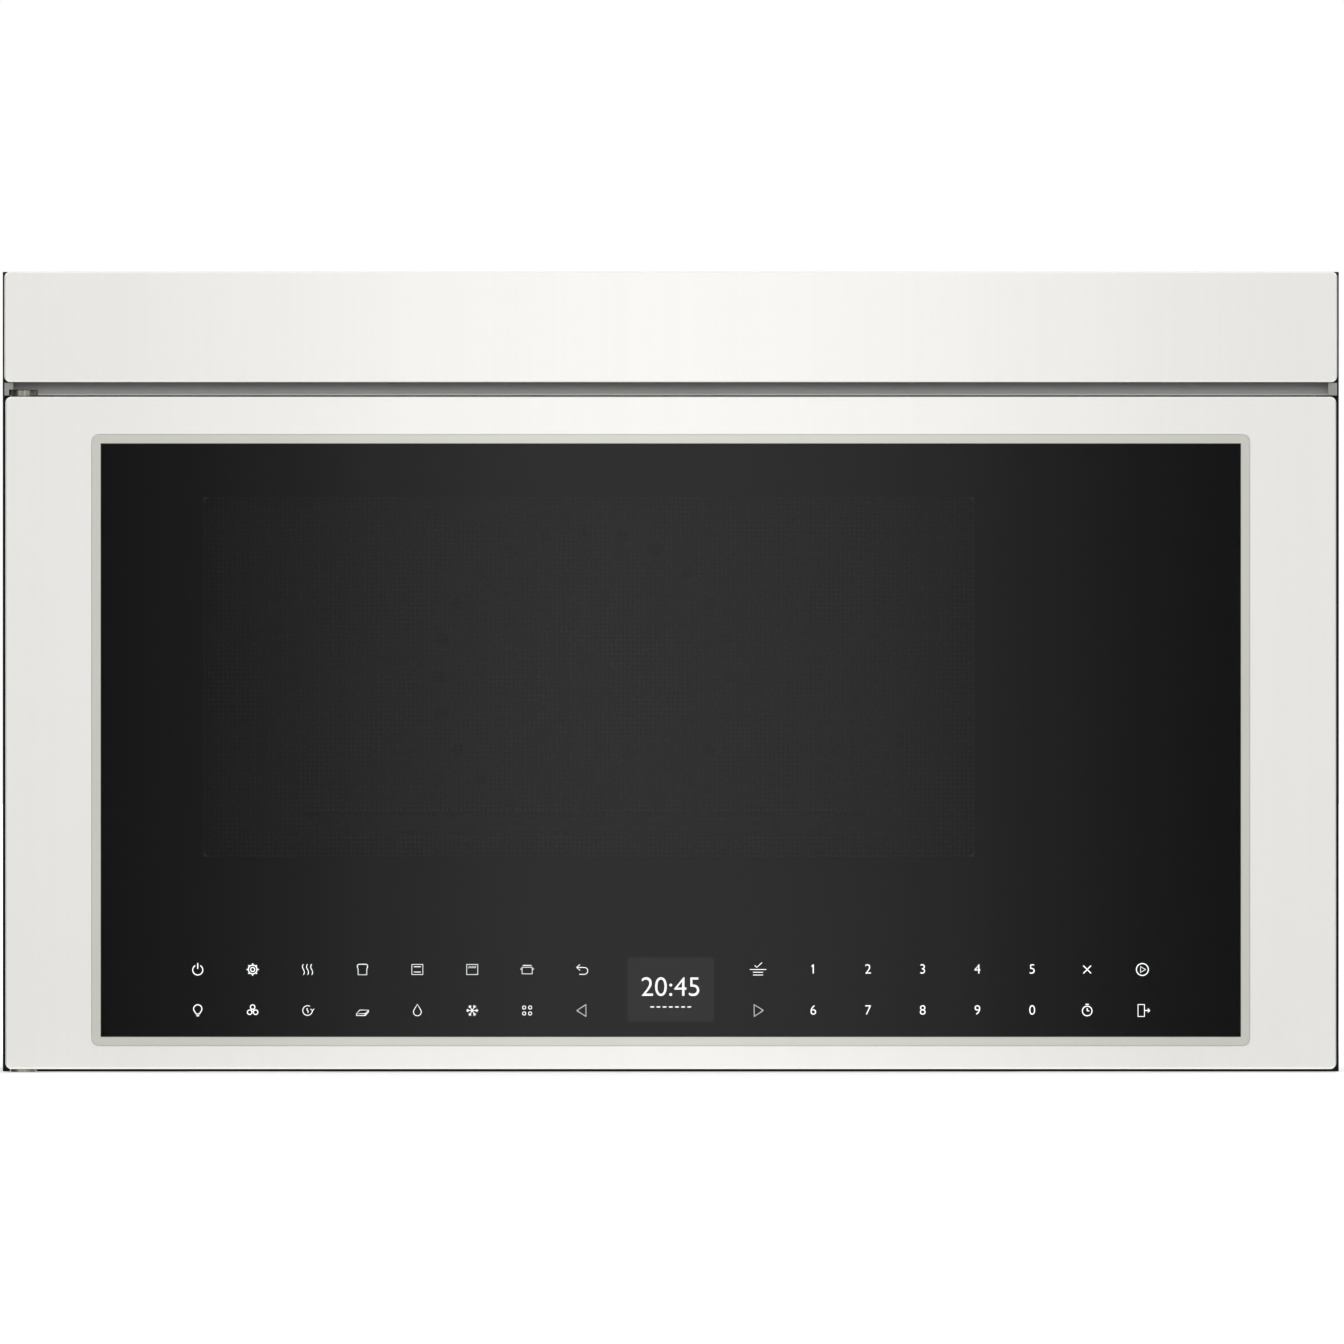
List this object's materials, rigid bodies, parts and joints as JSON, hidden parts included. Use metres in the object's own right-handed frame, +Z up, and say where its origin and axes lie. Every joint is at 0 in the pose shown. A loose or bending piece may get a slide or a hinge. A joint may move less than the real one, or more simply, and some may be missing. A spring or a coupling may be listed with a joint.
{
  "type": "over the range microwave",
  "caption": "Over the range microwave oven with a full width side hung glass door, touch controls, top vent, turntable, blower and underside grease filters.",
  "frame": {"origin": "middle of the underside's bounding box, on the plane of the base panel", "axes": "+X to the right as seen from the front, +Y to the wall, +Z up"},
  "size_m": [0.7588, 0.47, 0.454],
  "materials": {
    "case_black": "satin black paint",
    "zinc_steel": "zinc plated sheet",
    "front_paint": "light grey enamel",
    "skin_white": "satin pale metal",
    "trim_satin": "satin",
    "dark_glass": "dark tinted",
    "clear_glass": "clear",
    "tray_glass": "clear, moulded",
    "grey_plastic": "moulded grey",
    "black_plastic": "moulded black",
    "white_plastic": "moulded",
    "clear_plastic": "frosted lens",
    "cavity_enamel": "grey enamel",
    "screen_black": "matt black",
    "filter_alloy": "bare",
    "motor_steel": "plated",
    "fan_alloy": "bare",
    "board_green": "circuit board",
    "mica": "mica sheet",
    "heater_alloy": "heater sheath",
    "charcoal": "charcoal pad",
    "spring_steel": "plated",
    "gland_rubber": "moulded"
  },
  "bodies": {
    "case": {"base_panel": "case_black", "left_side_panel": "case_black", "right_side_panel": "case_black", "back_panel": "zinc_steel", "case_screws": "spring_steel", "top_panel": "case_black", "front_frame": "front_paint", "vent_fascia": "skin_white", "exhaust_deflector": "grey_plastic", "air_deck": "zinc_steel", "charcoal_filters": "charcoal", "cavity_floor": "cavity_enamel", "cavity_ceiling": "cavity_enamel", "cavity_left_wall": "cavity_enamel", "cavity_right_wall": "cavity_enamel", "cavity_rear_wall": "cavity_enamel", "cavity_lamp": "white_plastic", "convection_housing": "zinc_steel", "convection_heater": "heater_alloy", "convection_motor": "motor_steel", "turntable_motor": "motor_steel", "blower_scrolls": "zinc_steel", "blower_motor": "motor_steel", "damper_collar": "zinc_steel", "cord_gland": "gland_rubber", "cooktop_lights": "clear_plastic", "component_shelf": "zinc_steel", "waveguide": "zinc_steel", "waveguide_cover": "mica", "magnetron": "fan_alloy", "inverter_unit": "board_green", "power_board": "board_green", "cooling_fan_frame": "black_plastic", "hinge_arms": "spring_steel", "interlock_bracket": "white_plastic", "interlock_switches": "black_plastic"},
    "door": {"door_frame": "skin_white", "window_trim": "trim_satin", "door_glass": "dark_glass", "door_inner_panel": "cavity_enamel", "door_screen": "screen_black", "inner_glass": "clear_glass", "door_liner": "black_plastic", "touch_board": "board_green", "display_module": "black_plastic", "hinge_blocks": "white_plastic"},
    "latch": {"latch_slide": "white_plastic"},
    "plungers": {"interlock_plungers": "white_plastic"},
    "blower": {"blower_rotor": "black_plastic"},
    "oven_fan": {"convection_fan": "fan_alloy"},
    "tube_fan": {"cooling_fan": "black_plastic"},
    "table_drive": {"turntable_drive": "white_plastic"},
    "tray": {"turntable_tray": "tray_glass"},
    "ring": {"roller_ring": "white_plastic"},
    "wheel_1": {"roller_wheel_1": "white_plastic"},
    "wheel_2": {"roller_wheel_2": "white_plastic"},
    "wheel_3": {"roller_wheel_3": "white_plastic"},
    "damper": {"damper_flap": "fan_alloy"},
    "left_filter": {"left_grease_filter": "filter_alloy"},
    "right_filter": {"right_grease_filter": "filter_alloy"}
  },
  "joints": [
    {"name": "door_hinge", "type": "hinge", "parent": "case", "child": "door", "pos_m": [-0.3674, -0.225, 0.19], "axis": [0, 0, -1], "range_deg": [0, 90]},
    {"name": "latch_lift", "type": "slide", "parent": "door", "child": "latch", "axis": [0, 0, 1], "range_m": [-0.0035, 0], "stiffness_N_per_m": 60, "springref_m": -0.01},
    {"name": "plunger_travel", "type": "slide", "parent": "case", "child": "plungers", "axis": [0, -1, 0], "range_m": [0, 0.0012]},
    {"name": "blower_spin", "type": "hinge", "parent": "case", "child": "blower", "pos_m": [0, 0.145, 0.386], "axis": [1, 0, 0], "continuous": true},
    {"name": "oven_fan_spin", "type": "hinge", "parent": "case", "child": "oven_fan", "pos_m": [-0.05, 0.1726, 0.224], "axis": [0, 1, 0], "continuous": true},
    {"name": "tube_fan_spin", "type": "hinge", "parent": "case", "child": "tube_fan", "pos_m": [0.28, -0.0995, 0.24], "axis": [0, 1, 0], "continuous": true},
    {"name": "table_spin", "type": "hinge", "parent": "case", "child": "table_drive", "pos_m": [-0.05, -0.0224, 0.1263], "axis": [0, 0, 1], "continuous": true},
    {"name": "ring_roll", "type": "hinge", "parent": "case", "child": "ring", "pos_m": [-0.05, -0.0224, 0.1263], "axis": [0, 0, 1], "continuous": true},
    {"name": "tray_lift", "type": "slide", "parent": "table_drive", "child": "tray", "axis": [0, 0, 1], "range_m": [0, 0.03]},
    {"name": "damper_swing", "type": "hinge", "parent": "case", "child": "damper", "pos_m": [0, 0.17805, 0.4455], "axis": [-1, 0, 0], "range_deg": [0, 75]},
    {"name": "wheel_1_roll", "type": "hinge", "parent": "ring", "child": "wheel_1", "pos_m": [-0.05, 0.0896, 0.1263], "axis": [0, 1, 0], "continuous": true},
    {"name": "wheel_2_roll", "type": "hinge", "parent": "ring", "child": "wheel_2", "pos_m": [-0.14699, -0.0784, 0.1263], "axis": [-0.866, -0.5, 0], "continuous": true},
    {"name": "wheel_3_roll", "type": "hinge", "parent": "ring", "child": "wheel_3", "pos_m": [0.047, -0.0784, 0.1263], "axis": [0.866, -0.5, 0], "continuous": true},
    {"name": "left_filter_drop", "type": "slide", "parent": "case", "child": "left_filter", "axis": [0, 0, -1], "range_m": [0, 0.04]},
    {"name": "right_filter_drop", "type": "slide", "parent": "case", "child": "right_filter", "axis": [0, 0, -1], "range_m": [0, 0.04]}
  ],
  "couplings": [
    {"joint": "plunger_travel", "follows": "door_hinge", "m_per_rad": 0.00076318},
    {"joint": "ring_roll", "follows": "table_spin", "ratio": 0.5},
    {"joint": "wheel_1_roll", "follows": "table_spin", "ratio": -7},
    {"joint": "wheel_2_roll", "follows": "table_spin", "ratio": -7},
    {"joint": "wheel_3_roll", "follows": "table_spin", "ratio": -7}
  ]
}
